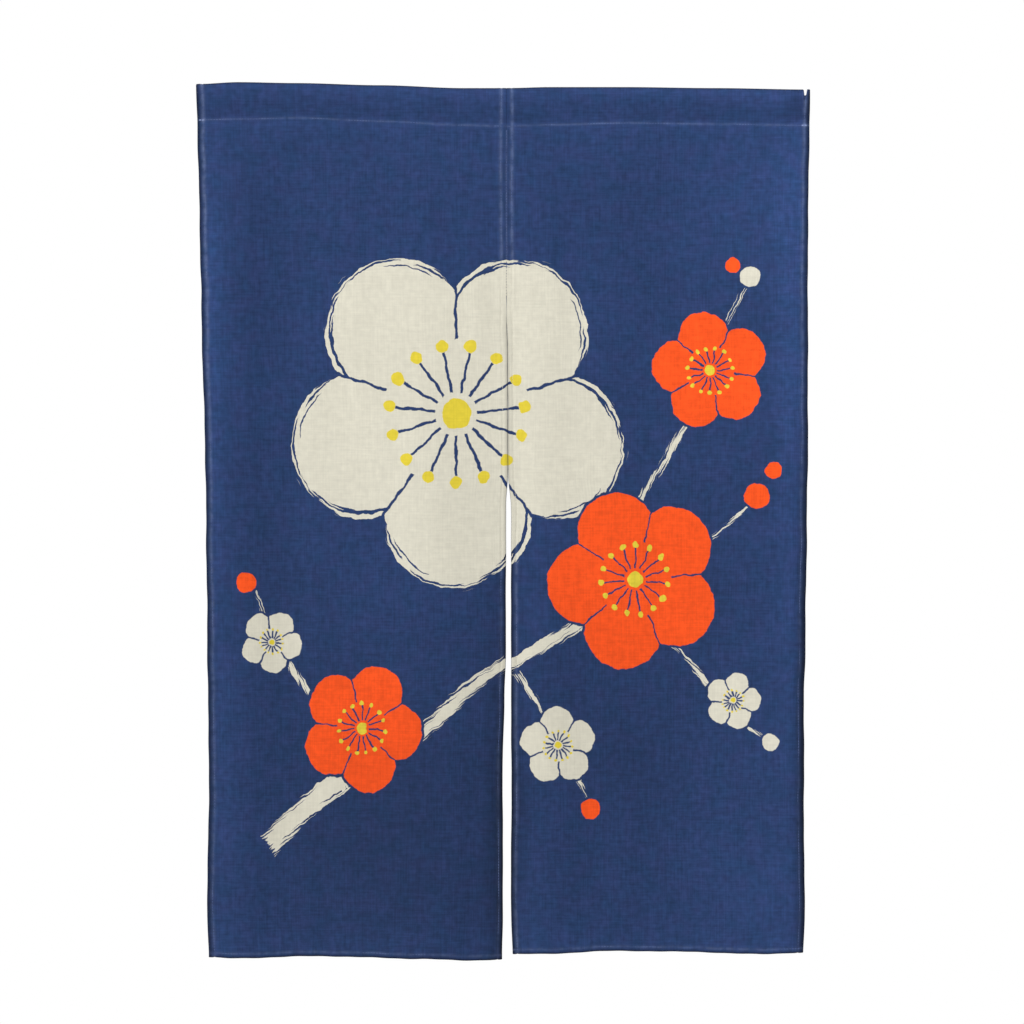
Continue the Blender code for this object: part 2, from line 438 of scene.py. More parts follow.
# %% The path down: pocket and stack
LIP_HEIGHT = 4.0
LIP_MIDDLE = 1.5
FRONT_BULGE = 5.4
BACK_BULGE = 15.0
FRONT_PINCH = 1.25
BACK_PINCH = 0.75
FOLD_POWER = 0.5
NOTCH_IN = 6.4
NOTCH_HALF = 2.1
NOTCH_DEEP = 8.5


def across_at(side, away, height):
    """Where the columns stand at some heights: hems keep their width and the cloth between them gives."""
    low, high = edges(side, height)
    width = WIDTHS[side]
    give = smooth((away - SIDE_HEM) / (width - 2 * SIDE_HEM))
    return low + away + (high - low - width) * give


def sleeve_width(share, pinch):
    """How full the sleeve is, 0 to 1, from its pinched bottom (0) to the fold at its top (1). The higher
    power of the pinch, the more gently the wall leaves it."""
    belly = pinch / (pinch + FOLD_POWER)
    full = belly**pinch * (1.0 - belly) ** FOLD_POWER
    return share**pinch * (1.0 - share) ** FOLD_POWER / full


def sleeve_front(share):
    """Depth of the sleeve's front wall at a share of its height."""
    full = sleeve_width(share, FRONT_PINCH) * (FRONT_BULGE - CLOTH / 2)
    return LIP_MIDDLE - (LIP_MIDDLE - CLOTH / 2) * (1 - share) - full


def sleeve_back(share, stack):
    """Depth of the sleeve's back wall, which starts behind the stack of layers at the stitch line."""
    full = sleeve_width(share, BACK_PINCH) * (BACK_BULGE - CLOTH / 2)
    return LIP_MIDDLE + (CLOTH / 2 + stack - LIP_MIDDLE) * (1 - share) + full


print("sleeve, mm:", round(float(sleeve_back(0.5, 1.0) - sleeve_front(0.5)), 1), "deep half way up")

# %% [markdown]
# A path is a list of rows, each a depth and a height for every column. Rows lie close where the cloth bends
# or is sewn, and a few millimetres apart where it hangs free. Rows that are needed again, because stitches
# follow them, are marked by name.

# %% The path down, row by row
POCKET_EDGE = 2.5
POCKET_RAW_END = 6.0
SLEEVE_STEPS = 13
BOTTOM_HEM = 8.0
BOTTOM_RAW_END = 3.0
BOTTOM_STITCH = 6.0
FIELD_ROW_STEP = 4.25
BELOW_SEAM = 10.0
ABOVE_HEM = 12.0
THICK_PAST = 0.5
THICK_FADES = 4.0
BACK_SEAM_ROWS = (0.0, 1.4, 2.8)
FRONT_SEAM_ROWS = (2.6, 1.2, 0.0, -1.2, -2.6, -4.4, -7.0)
HEM_ROWS = (10.3, 8.8, 7.4, BOTTOM_STITCH, 4.8, 3.6, 2.5)
HEM_BACK_ROWS = (4.2, BOTTOM_STITCH)


def path_down(side, away):
    """Rows of the sheet from the pocket's raw end to the bottom's: depths and heights for every column."""
    from_side = np.minimum(away, WIDTHS[side] - away)
    at_stitch = across_at(side, away, np.full_like(away, -STITCH_DROP))
    stitch = read(HEADINGS, "across", "stitch", at_stitch)
    hem_line = read(HEADINGS, "across", "top", at_stitch) - CLOTH / 2
    top = hem_line
    if side == "right":
        notch = np.exp(-(((WIDTHS[side] - away - NOTCH_IN) / NOTCH_HALF) ** 6))
        top = hem_line - NOTCH_DEEP * notch
    at_bottom_edge = across_at(side, away, np.full_like(away, -HANG_LENGTH))
    bottom = read(BOTTOMS[side], "across", "height", at_bottom_edge)
    bottom = bottom + wavy(BOTTOM_WAVER, at_stitch) + CLOTH / 2
    in_hem = 1.0 - smooth((from_side - SIDE_HEM - THICK_PAST) / THICK_FADES)
    turn = LAYER * (0.5 + 2.0 * in_hem)
    stack = LAYER * (2.0 + 6.0 * in_hem)
    low = stitch + LIP_HEIGHT

    def hanging(height):
        """Depth of the hanging front at some heights."""
        return CLOTH / 2 - stands_forward(side, across_at(side, away, height), height)

    def back_wall(height):
        """Depth of the pocket's back at a height."""
        return sleeve_back(np.clip((height - low) / (top - low), 0.0, 1.0), stack)

    rows = []
    marks = {}
    edge = stitch - POCKET_EDGE
    for height in (stitch + POCKET_RAW_END, stitch + POCKET_RAW_END / 3, edge + turn):
        rows.append((back_wall(height) - 2 * turn, height))
    rows += fold_over(back_wall(edge) - turn, edge + turn, turn, (216, 252, 288, 324, 360))
    marks["pocket_back"] = len(rows)
    rows += [(back_wall(stitch + rise), stitch + rise) for rise in BACK_SEAM_ROWS]
    shares = [(1.0 - math.cos(math.pi * i / SLEEVE_STEPS)) / 2.0 for i in range(SLEEVE_STEPS)]
    rows += [(sleeve_back(share, stack), low + (top - low) * share) for share in shares]
    marks["top"] = len(rows)
    rows.append((np.full_like(away, LIP_MIDDLE), top))
    rows += [(sleeve_front(share), low + (top - low) * share) for share in reversed(shares)]

    marks["pocket_front"] = len(rows) + FRONT_SEAM_ROWS.index(0.0)
    heights = [stitch + rise for rise in FRONT_SEAM_ROWS]
    first, last = stitch - BELOW_SEAM, bottom + ABOVE_HEM
    count = round(HANG_LENGTH / FIELD_ROW_STEP)
    heights += [first + (last - first) * i / (count - 1) for i in range(count)]
    marks["bottom_front"] = len(rows) + len(heights) + HEM_ROWS.index(BOTTOM_STITCH)
    heights += [bottom + rise for rise in HEM_ROWS]
    rows += [(hanging(height), height) for height in heights]

    bend = stack / 2
    rows += fold_over(hanging(bottom) + bend, bottom + bend, bend, (180, 216, 252, 288, 324, 360))
    marks["bottom_back"] = len(rows) + HEM_BACK_ROWS.index(BOTTOM_STITCH)
    rows += [(hanging(bottom + rise) + stack, bottom + rise) for rise in HEM_BACK_ROWS]
    at_hem = hanging(bottom + BOTTOM_HEM) + stack
    hem_middle = bottom + BOTTOM_HEM - turn
    rows += fold_over(at_hem - turn, hem_middle, turn, (0, 60, 120, 180))
    rows.append((at_hem - 2 * turn, hem_middle - BOTTOM_RAW_END))
    depth = np.array([np.broadcast_to(row[0], away.shape) for row in rows])
    height = np.array([row[1] for row in rows])
    return depth, height, marks, stitch, hem_line, bottom


left_rows = path_down("left", left_columns[0])[0]
print("rows:", len(left_rows))

# %% [markdown]
# ## Where light and shade are painted
#
# Light and shade are painted on the cloth in soft patches: lighter towards the outer edges and at the top
# right, darker in the lower middle and along the left panel's free edge. Each row is one soft patch: its
# middle, its half sizes, and how much paler with painted light or, below zero, deeper with painted shade
# the cloth is there.

# %% Patches of painted light and shade
PAINTED_LIGHT_AND_SHADE = table(
    "across height half_width half_height paler",
    (0, 0, 900, 45, 0.08),
    (-415, -391, 26, 330, 0.36),
    (-405, -1000, 26, 330, 0.07),
    (405, -300, 34, 340, 0.30),
    (412, -900, 12, 380, -0.45),
    (398, -640, 16, 360, 0.16),
    (406, -24, 24, 24, -0.46),
    (352, -114, 90, 190, 0.14),
    (335, -1090, 70, 110, 0.10),
    (-168, -1030, 150, 235, -0.31),
    (-6, -1060, 22, 380, -0.46),
    (157, -918, 118, 200, -0.18),
    (22, -985, 22, 90, -0.14),
    (270, -680, 60, 160, -0.10),
    (-310, -640, 60, 160, -0.08),
    (0, -20, 9, 60, 0.12),
)


def paler(across, height):
    """Painted light and shade at some places on the hanging cloth: above 1 lighter, below 1 darker, 1 being
    the middle tone.
    """
    total = np.ones_like(across)
    for patch in PAINTED_LIGHT_AND_SHADE:
        aside = (across - patch.across) / patch.half_width
        above = (height - patch.height) / patch.half_height
        total += patch.paler * np.exp(-(aside**2) - above**2)
    return total


print("palest and deepest patch:", max(p.paler for p in PAINTED_LIGHT_AND_SHADE), min(p.paler for p in PAINTED_LIGHT_AND_SHADE))

# %% [markdown]
# ## What a seam does to the cloth
#
# Between the stitches and the edge a hem stands slightly proud, and at the stitches the thread pulls the
# cloth in, so the front gets that low relief. Along the stitches the hem's ridge is rubbed pale, and the
# folded edge itself lies in its own shade. How far in the stitches run, how rubbed they are and how far the
# shade reaches differs from hem to hem and on the way down, so these are tables too.

# %% Seams down the sides
SEAMS = {
    "left": table(
        "drop outer inner outer_rubbed inner_rubbed outer_dark inner_dark",
        (0, 8.4, 7.4, 1.1, 0.8, 5.6, 5.2),
        (90, 7.6, 7.9, 1.2, 0.85, 6.3, 5.2),
        (290, 7.9, 7.9, 1.1, 0.8, 7.0, 5.2),
        (600, 7.2, 7.0, 0.8, 0.3, 7.6, 5.2),
        (900, 7.6, 6.6, 0.6, 0.3, 8.0, 5.2),
        (1150, 7.8, 6.2, 0.5, 0.25, 8.0, 5.2),
    ),
    "right": table(
        "drop outer inner outer_rubbed inner_rubbed outer_dark inner_dark",
        (0, 6.4, 6.8, 0.8, 0.9, 6.5, 5.2),
        (90, 7.8, 7.6, 0.75, 0.9, 7.8, 5.2),
        (290, 8.3, 7.5, 0.7, 0.85, 9.8, 5.2),
        (600, 8.4, 7.4, 0.35, 0.7, 10.0, 5.2),
        (900, 8.2, 7.0, 0.2, 0.65, 9.5, 5.2),
        (1150, 7.8, 6.6, 0.2, 0.6, 9.0, 5.2),
    ),
}
HEM_PUFF = 0.40
PUFF_POWER = 0.8
STITCH_PULL = 0.28
PULL_REACH = 1.2
SEAM_RIDGE = 0.16
RIDGE_IN = 3.0
RIDGE_REACH = 1.9
SEAM_RUBBED = 2.5
LEVEL_RUBBED = 0.5
POCKET_RUBBED_REACH = 1.6
BOTTOM_RUBBED_REACH = 1.9
CROSSING_RUBBED = 2.2
CROSSING_REACH = (2.6, 2.0)
JOIN_RUBBED = 0.38
JOIN_REACH = 2.0
JOIN_LOOSE = 0.8
JOIN_STARTS = 12.0
JOIN_FADES = 40.0
LEVEL_EDGE_DARK = 2.8
GROOVE_WIDE = 3.0
GROOVE_DEEP = 0.6
GROOVE_TOP = 325.0
GROOVE_END = 565.0
GROOVE_STARTS = 30.0
GROOVE_FADES = 25.0


def bump(x):
    """A soft hump, 1 at 0."""
    return np.exp(-(x**2))


def seam_in(side, which, height):
    """How far the stitch line of the outer or inner side hem runs in from its edge at some heights."""
    drop = -np.asarray(height, float)
    return read(SEAMS[side], "drop", which, drop) + wavy(SEAM_WAVER, drop)


def puff(share):
    """How far a hem stands proud between its edge (0) and its stitches (1)."""
    return HEM_PUFF * np.sin(math.pi * np.clip(share, 0.0, 1.0)) ** PUFF_POWER


def pull(distance):
    """How far the cloth is drawn in beside a line of stitches."""
    return STITCH_PULL * bump(distance / PULL_REACH)


def side_hem_marks(side, from_edge, z, stitch):
    """What both side hems do to the front: its relief, how rubbed it is, how dark its folded edges are."""
    relief, rubbed, dark = np.zeros_like(z), np.zeros_like(z), np.zeros_like(z)
    joined = 1.0 - smooth((-z - SLIT_TOP) / JOIN_FADES)
    for which, distance in from_edge.items():
        seam = seam_in(side, which, z)
        loose = 1.0 - JOIN_LOOSE * joined if which == "inner" else 1.0
        relief += pull(distance - seam) - loose * puff(distance / seam)
        relief -= SEAM_RIDGE * bump((distance - seam - RIDGE_IN) / RIDGE_REACH)
        along = read(SEAMS[side], "drop", f"{which}_rubbed", -z)
        rubbed = np.maximum(rubbed, along * bump((distance - seam) / SEAM_RUBBED))
        if which == "outer":
            # Where the pocket's seam crosses the side seam the cloth is thickest and rubs most
            aside, above = CROSSING_REACH
            rubbed += CROSSING_RUBBED * bump((distance - seam) / aside) * bump((z - stitch) / above)
        else:
            below = smooth((stitch - z) / JOIN_STARTS)
            rubbed = np.maximum(rubbed, JOIN_RUBBED * joined * below * bump(distance / JOIN_REACH))
        reach = read(SEAMS[side], "drop", f"{which}_dark", -z)
        dark = np.maximum(dark, loose * bump(distance / reach))
    return relief, rubbed, dark


print("side seams run in, mm:", [row.outer for row in SEAMS["left"]], [row.outer for row in SEAMS["right"]])

# %% [markdown]
# ## Lay the sheet along both paths
#
# A grid is the sheet before it is folded: its columns and rows become those of the two paths. The path down
# gives every point its place, and the path across moves it to the back by its depth, square to the path
# down. Its flat place on the cut cloth is kept as a UV map in metres, so that weave and print stay on the
# cloth where it folds. What the materials need to know, such as how many layers lie there, goes along as
# attributes.

# %% Lay out a panel
HEM_EDGE = 0.8
HEM_BLEND = 1.2
POCKET_BLEND = 1.5
Sheet = namedtuple("Sheet", "place inward away flat marks on_front height")


def unit(y, z):
    """Steps in depth and height, made one long."""
    long = np.maximum(np.hypot(y, z), 1e-9)
    return y / long, z / long


def square_to_path(step_y, step_z):
    """At each row of a path, the direction to its wrong side, square to the steps above and below it."""
    along = []
    for step in unit(step_y, step_z):
        along.append(np.vstack([step[:1], step[1:] + step[:-1], step[-1:]]))
    along_y, along_z = unit(*along)
    return -along_z, along_y


def hem_layers(distance, hem):
    """Layers of cloth at a distance from an edge with a double hem: three in the hem, one past it."""
    return 1.0 + 2.0 * (1.0 - smooth((distance - hem + HEM_EDGE) / HEM_BLEND))


def lay_out(side):
    """Every point of a panel's sheet, in millimetres, and what its material needs to know of it."""
    away, depth, flat_across, on_front = path_across(WIDTHS[side])
    y, z, marks, stitch, top, bottom = path_down(side, away)
    step_y, step_z = np.diff(y, axis=0), np.diff(z, axis=0)
    inward_y, inward_z = square_to_path(step_y, step_z)
    x = across_at(side, np.broadcast_to(away, z.shape), z)

    from_left, from_right = away, WIDTHS[side] - away
    if side == "left":
        from_edge = {"outer": from_left, "inner": from_right}
    else:
        from_edge = {"outer": from_right, "inner": from_left}
    relief, rubbed, dark = side_hem_marks(side, from_edge, z, stitch)
    from_bottom, from_pocket = z - bottom, z - stitch
    relief += pull(from_bottom - BOTTOM_STITCH) + pull(from_pocket) - puff(from_bottom / BOTTOM_STITCH)
    total = depth + np.where(on_front, relief, 0.0)
    place = np.stack([x, y + total * inward_y, z + total * inward_z], axis=-1)
    inward = np.stack([np.zeros_like(x), inward_y, inward_z], axis=-1)

    length = np.vstack([np.zeros_like(away), np.cumsum(np.hypot(step_y, step_z), axis=0)])
    flat_down = stitch - (length - length[marks["pocket_front"]])
    start = -WIDTHS[side] if side == "left" else 0.0
    flat = np.stack([np.broadcast_to(flat_across + start, z.shape), flat_down], axis=-1)

    layers = hem_layers(np.minimum(from_left, from_right), SIDE_HEM) * hem_layers(from_bottom, BOTTOM_HEM)
    layers *= 1.0 + smooth((from_pocket + POCKET_EDGE) / POCKET_BLEND)
    dark = np.maximum(dark, bump(from_bottom / LEVEL_EDGE_DARK))
    dark = np.maximum(dark, bump((z - top) / LEVEL_EDGE_DARK))
    # Where the slit is still shut, the groove between its two hems is painted shade, darker than any edge
    shut = smooth((-z - GROOVE_TOP) / GROOVE_STARTS) * smooth((GROOVE_END + z) / GROOVE_FADES)
    dark += GROOVE_DEEP * shut * bump((from_edge["inner"] / GROOVE_WIDE) ** 2)
    rubbed = np.maximum(rubbed, LEVEL_RUBBED * bump(from_pocket / POCKET_RUBBED_REACH))
    in_bottom_seam = bump((from_bottom - BOTTOM_STITCH) / BOTTOM_RUBBED_REACH)
    rubbed = np.maximum(rubbed, LEVEL_RUBBED * in_bottom_seam)
    printed = np.broadcast_to(on_front.astype(float), z.shape)
    # The patches of painted light and shade go along as an attribute
    told = {"layers": layers, "fold_edge": dark, "seam": rubbed, "paler": paler(x, z), "printed": printed}
    return Sheet(place, inward, away, flat, marks, on_front, z), told


# %% [markdown]
# ## From the layout to a mesh
#
# The layout becomes a mesh in one go: a grid with as many columns and rows gets the points, the UV map and
# the attributes, and Solidify then gives the sheet its thickness. The printed face and the wrong side are
# two materials, because the print reaches the back only in part.


# %% Make a panel's cloth
def make_cloth(name, side):
    """One panel as a folded sheet with thickness, its flat places in the UV map named cloth."""
    sheet, told = lay_out(side)
    row_count, column_count = sheet.place.shape[:2]
    bpy.ops.object.select_all(action="DESELECT")
    bpy.ops.mesh.primitive_grid_add(x_subdivisions=column_count - 1, y_subdivisions=row_count - 1, size=2.0)
    cloth = bpy.context.object
    cloth.name = name
    mesh = cloth.data
    mesh.name = name
    # The grid's rows run upwards, and the path's rows run downwards, so the rows are turned round
    points = sheet.place[::-1].reshape(-1, 3) * MM
    mesh.vertices.foreach_set("co", points.astype(np.float32).ravel())
    corner = np.empty(len(mesh.loops), np.int32)
    mesh.loops.foreach_get("vertex_index", corner)
    uv = mesh.uv_layers[0]
    uv.name = "cloth"
    uv.data.foreach_set("uv", (sheet.flat[::-1].reshape(-1, 2)[corner] * MM).astype(np.float32).ravel())
    for key, values in told.items():
        layer = mesh.attributes.new(key, "FLOAT", "POINT")
        layer.data.foreach_set("value", values[::-1].astype(np.float32).ravel())
    mesh.update()
    thicken = cloth.modifiers.new("cloth_thickness", "SOLIDIFY")
    thicken.thickness = CLOTH * MM
    thicken.offset = 0.0
    thicken.material_offset = 1
    for material in (printed_face, wrong_side):
        mesh.materials.append(material)
    bpy.ops.object.modifier_apply(modifier=thicken.name)
    bpy.ops.object.shade_smooth()
    triangles = sum(len(face.vertices) - 2 for face in cloth.data.polygons)
    print(name, "rows", row_count, "columns", column_count, "triangles", triangles)
    return cloth, sheet


# %% [markdown]
# ## Materials: the cloth
#
# The cloth is a plain weave of cotton and linen, printed on its face. What the eye sees is spun yarn of
# uneven thickness: short thicker places, called slubs, run as faint streaks both ways, and every dip
# between yarns darkens the colour a little. The dye also takes unevenly over a hand's breadth. Colours are
# written as sRGB hex, as a colour picker reads them, and turned to linear in one place.


# %% Colours
def linear(hex_colour):
    """An sRGB hex colour as linear red, green, blue and alpha."""
    parts = [int(hex_colour[i : i + 2], 16) / 255.0 for i in (0, 2, 4)]
    return tuple(c / 12.92 if c <= 0.04045 else ((c + 0.055) / 1.055) ** 2.4 for c in parts) + (1.0,)


NAVY = "273c69"
NAVY_WARM = "2d3b68"
NAVY_COOL = "23406a"
CREAM = "ddd9c8"
VERMILION = "fd571e"
YELLOW = "e4cf3f"

# %% [markdown]
# ## The print: one plum blossom
#
# The print is a plum branch in flower, a common motif on such curtains, drawn as a stencil cutter would:
# round petals with a thin uncut line between them and stamens that fan out from the middle. A picture could
# hold it, but a drawing in nodes stays sharp at any size and follows the UV map. One blossom is a node
# group. It folds the angle round the flower into one petal, and gives its distance from the petals'
# outline, in millimetres, less than nothing inside, and that from its fine lines.

# %% A blossom as a node group
PETAL_OUT = 0.56
PETAL_ROUND = 0.44
PETAL_TURN = math.radians(36.0)
STAMEN_TURN = math.radians(12.0)
STAMEN_MIDDLE = 0.235
STAMEN_HALF = 0.115
ANTHER_OUT = 0.385
ANTHER_ROUND = 0.034
EYE_ROUND = 0.085
HEART_ROUND = 0.42
GAP_START = 0.43

blossom_group = bpy.data.node_groups.new("plum_blossom", "ShaderNodeTree")
for socket_name, kind in (("Place", "Vector"), ("Centre", "Vector"), ("Radius", "Float"), ("Turn", "Float"),
                          ("Line", "Float")):
    blossom_group.interface.new_socket(socket_name, in_out="INPUT", socket_type="NodeSocket" + kind)
for socket_name in ("Outside", "Lines", "Anthers", "Around"):
    blossom_group.interface.new_socket(socket_name, in_out="OUTPUT", socket_type="NodeSocketFloat")


def draw_blossom(tree):
    """Fills the group with its nodes."""
    given = tree.nodes.new("NodeGroupInput").outputs
    away = add(tree, "VectorMath", (given["Place"], given["Centre"]), operation="SUBTRACT")
    length = add(tree, "VectorMath", (away,), out="Value", operation="LENGTH")
    reach = add(tree, "Math", (length, given["Radius"]), operation="DIVIDE")
    parts = add(tree, "SeparateXYZ", (away,)).node.outputs
    angle = add(tree, "Math", (parts["Y"], parts["X"]), operation="ARCTAN2")
    turned = add(tree, "Math", (angle, given["Turn"]), operation="ADD")

    def in_mm(value):
        """A measure in blossom radii, in millimetres."""
        return add(tree, "Math", (value, given["Radius"]), operation="MULTIPLY")

    def folded(half):
        """The angle folded into one sector, half to each side, and the place along and beside its axis."""
        angle = add(tree, "Math", (turned, half, -half), operation="WRAP")
        along = add(tree, "Math", (angle,), operation="COSINE")
        beside = add(tree, "Math", (angle,), operation="SINE")
        parts = [add(tree, "Math", (reach, part), operation="MULTIPLY") for part in (along, beside)]
        return [angle, *parts]

    def disc(along, beside, middle, radius):
        """How far past a disc's middle a place lies along the axis, and how far outside the disc's edge."""
        past = add(tree, "Math", (along, middle), operation="SUBTRACT")
        spot = add(tree, "CombineXYZ", (past, beside))
        length = add(tree, "VectorMath", (spot,), out="Value", operation="LENGTH")
        return past, add(tree, "Math", (length, radius), operation="SUBTRACT")

    petal, petal_along, petal_beside = folded(PETAL_TURN)
    past, petal_edge = disc(petal_along, petal_beside, PETAL_OUT, PETAL_ROUND)
    heart_edge = add(tree, "Math", (reach, HEART_ROUND), operation="SUBTRACT")
    outside = in_mm(add(tree, "Math", (petal_edge, heart_edge), operation="MINIMUM"))
    around = add(tree, "Math", (petal_beside, past), operation="ARCTAN2")

    off_axis = add(tree, "Math", (petal,), operation="ABSOLUTE")
    to_line = add(tree, "Math", (PETAL_TURN, off_axis), operation="SUBTRACT")
    beside = add(tree, "Math", (to_line,), operation="SINE")
    beside = add(tree, "Math", (beside, reach), operation="MULTIPLY")
    inside_heart = add(tree, "Math", (GAP_START, reach), operation="SUBTRACT")
    gap = in_mm(add(tree, "Math", (beside, inside_heart), operation="MAXIMUM"))
    gap_line = add(tree, "Math", (gap, given["Line"]), operation="SUBTRACT")

    _, ray_along, ray_beside = folded(STAMEN_TURN)
    off_ray = in_mm(add(tree, "Math", (ray_beside,), operation="ABSOLUTE"))
    ray_line = add(tree, "Math", (off_ray, given["Line"]), operation="SUBTRACT")
    past_end = add(tree, "Math", (ray_along, STAMEN_MIDDLE), operation="SUBTRACT")
    past_end = add(tree, "Math", (past_end,), operation="ABSOLUTE")
    past_end = in_mm(add(tree, "Math", (past_end, STAMEN_HALF), operation="SUBTRACT"))
    stamen = add(tree, "Math", (ray_line, past_end), operation="MAXIMUM")
    lines = add(tree, "Math", (gap_line, stamen), operation="MINIMUM")

    _, anther = disc(ray_along, ray_beside, ANTHER_OUT, ANTHER_ROUND)
    eye = add(tree, "Math", (reach, EYE_ROUND), operation="SUBTRACT")
    anthers = in_mm(add(tree, "Math", (anther, eye), operation="MINIMUM"))

    made = tree.nodes.new("NodeGroupOutput").inputs
    for name, value in (("Outside", outside), ("Lines", lines), ("Anthers", anthers), ("Around", around)):
        tree.links.new(value, made[name])


draw_blossom(blossom_group)
print("blossom nodes:", len(blossom_group.nodes))

# %% [markdown]
# ## The print: the whole branch
#
# One large cream blossom lies across the slit with dry brush marks round its petals. Below it a cream
# branch climbs from the lower left, drawn with a brush that runs dry, and carries vermilion and cream
# blossoms and buds. A branch is a line in a frame of its own, laid along it: one curve gives how far it
# bends to the side and another how thick it is. Each blossom keeps a thin navy line round it, as a stencil
# needs.

# %% The branch in flower
Bloom = namedtuple("Bloom", "across height radius turn")
GREAT_BLOOM = Bloom(-72, -452, 248, 0.32)
CREAM_BLOOMS = (Bloom(66, -912, 54, 0.9), Bloom(-338, -768, 44, 0.2), Bloom(320, -850, 40, 1.2))
RED_BLOOMS = (Bloom(176, -682, 126, 0.55), Bloom(-206, -888, 90, 0.1), Bloom(284, -392, 82, 0.75))
Bud = namedtuple("Bud", "across height radius")
CREAM_BUDS = (Bud(340, -262, 14), Bud(372, -908, 12))
RED_BUDS = (
    Bud(350, -566, 18),
    Bud(372, -530, 12),
    Bud(-374, -686, 14),
    Bud(112, -1000, 14),
    Bud(316, -246, 10),
)
Branch = namedtuple("Branch", "across height angle half_length bends half_widths")
BRANCHES = (
    Branch(0, -808, 34, 420,
           ((0, 0.42), (0.14, 0.55), (0.3, 0.44), (0.47, 0.57), (0.63, 0.5), (0.8, 0.42), (1, 0.5)),
           ((0, 0.85), (0.1, 0.8), (0.35, 0.55), (0.6, 0.45), (0.85, 0.24), (0.97, 0.12), (1, 0))),
    Branch(220, -512, 64, 270, ((0, 0.5), (0.3, 0.58), (0.6, 0.45), (0.85, 0.53), (1, 0.5)),
           ((0, 0.4), (0.4, 0.3), (0.8, 0.16), (0.97, 0.1), (1, 0))),
    Branch(-296, -826, 116, 162, ((0, 0.55), (0.35, 0.45), (0.7, 0.55), (1, 0.5)),
           ((0, 0.36), (0.5, 0.26), (0.9, 0.12), (1, 0))),
    Branch(258, -806, -42, 150, ((0, 0.5), (0.4, 0.56), (0.75, 0.46), (1, 0.52)),
           ((0, 0.34), (0.5, 0.24), (0.9, 0.1), (1, 0))),
    Branch(58, -902, -61, 104, ((0, 0.5), (0.5, 0.56), (1, 0.5)),
           ((0, 0.3), (0.6, 0.2), (0.94, 0.1), (1, 0))),
)
BEND_REACH = 120.0
WIDEST = 20.0
OUTLINE_GAP = 3.6
GREAT_LINE = 2.0
BLOOM_LINE = 1.1
PRINT_BLUR = 0.55
print("blossoms:", 1 + len(CREAM_BLOOMS) + len(RED_BLOOMS), "buds:", len(CREAM_BUDS) + len(RED_BUDS))

# %% [markdown]
# Each shape is a distance from its outline, less than nothing inside. The smallest of some distances is the
# outline of all those shapes together, and the largest is what they have in common. A last step turns a
# distance into ink, 1 inside and 0 outside. A map range takes a value, the two ends that it comes from and
# the two ends that it goes to.


# %% Tools for drawing with distances
def within(tree, distance):
    """1 inside a drawn shape and 0 outside, with the slight blur of ink on cloth."""
    ends = (distance, PRINT_BLUR, -PRINT_BLUR, 0.0, 1.0)
    return add(tree, "MapRange", ends, interpolation_type="SMOOTHSTEP")


def lowest(tree, distances):
    """The smallest of some distances: the outline of all the shapes together."""
    total = distances[0]
    for distance in distances[1:]:
        total = add(tree, "Math", (total, distance), operation="MINIMUM")
    return total


def bloom(tree, place, flower, line=BLOOM_LINE):
    """A blossom's outputs at its place in the print."""
    node = tree.nodes.new("ShaderNodeGroup")
    node.node_tree = blossom_group
    tree.links.new(place, node.inputs["Place"])
    node.inputs["Centre"].default_value = (flower.across, flower.height, 0.0)
    node.inputs["Radius"].default_value = flower.radius
    node.inputs["Turn"].default_value = flower.turn
    node.inputs["Line"].default_value = line
    return node.outputs


# The hairs of a brush that runs dry leave streaks some 80 mm long and a few millimetres apart
DRY_STREAKS = (0.012, 0.42, 1.0)
DRY_BRUSH = 7.0
WET_BRUSH = -1.5


def branch_edge(tree, place, branch):
    """Distance from a branch's outline, in millimetres, eaten into where the brush ran dry."""
    centred = add(tree, "VectorMath", (place, (branch.across, branch.height, 0.0)), operation="SUBTRACT")
    turn = -math.radians(branch.angle)
    laid = add(tree, "VectorRotate", {"Vector": centred, "Angle": turn}, rotation_type="Z_AXIS")
    parts = add(tree, "SeparateXYZ", (laid,)).node.outputs
    share = add(tree, "MapRange", (parts["X"], -branch.half_length, branch.half_length, 0.0, 1.0))
    values = []
    for table, low, high in ((branch.bends, -BEND_REACH / 2, BEND_REACH / 2),
                             (branch.half_widths, 0.0, WIDEST)):
        curve = tree.nodes.new("ShaderNodeFloatCurve")
        points = curve.mapping.curves[0].points
        while len(points) > 2:
            points.remove(points[1])
        points[0].location = table[0]
        points[1].location = table[-1]
        for spot in table[1:-1]:
            points.new(*spot)
        curve.mapping.update()
        tree.links.new(share, curve.inputs["Value"])
        values.append(add(tree, "MapRange", (curve.outputs[0], 0.0, 1.0, low, high)))
    bend, half_width = values
    aside = add(tree, "Math", (parts["Y"], bend), operation="SUBTRACT")
    aside = add(tree, "Math", (aside,), operation="ABSOLUTE")
    edge = add(tree, "Math", (aside, half_width), operation="SUBTRACT")
    past = add(tree, "Math", (parts["X"],), operation="ABSOLUTE")
    past = add(tree, "Math", (past, branch.half_length), operation="SUBTRACT")
    edge = add(tree, "Math", (edge, past), operation="MAXIMUM")
    streaks = add(tree, "VectorMath", (laid, DRY_STREAKS), operation="MULTIPLY")
    streaks = add(tree, "TexNoise", {"Vector": streaks, "Scale": 1.0}, noise_dimensions="2D")
    rough = add(tree, "MapRange", (streaks, 0.35, 0.7, WET_BRUSH, DRY_BRUSH))
    return add(tree, "Math", (edge, rough), operation="ADD")


# %% [markdown]
# Now the whole print is put together. A slow noise first moves every place a little aside, as a hand
# wanders. The great blossom's outline is frayed by the hairs of a broad brush that run round each petal,
# and the branch stops short of every blossom.

# %% Draw the print
HAND_WANDER = 7.0
WANDER_SCALE = 0.06
BRUSH_REACH = 9.0
BRUSH_HAIRS = (0.75, 0.17, 1.0)


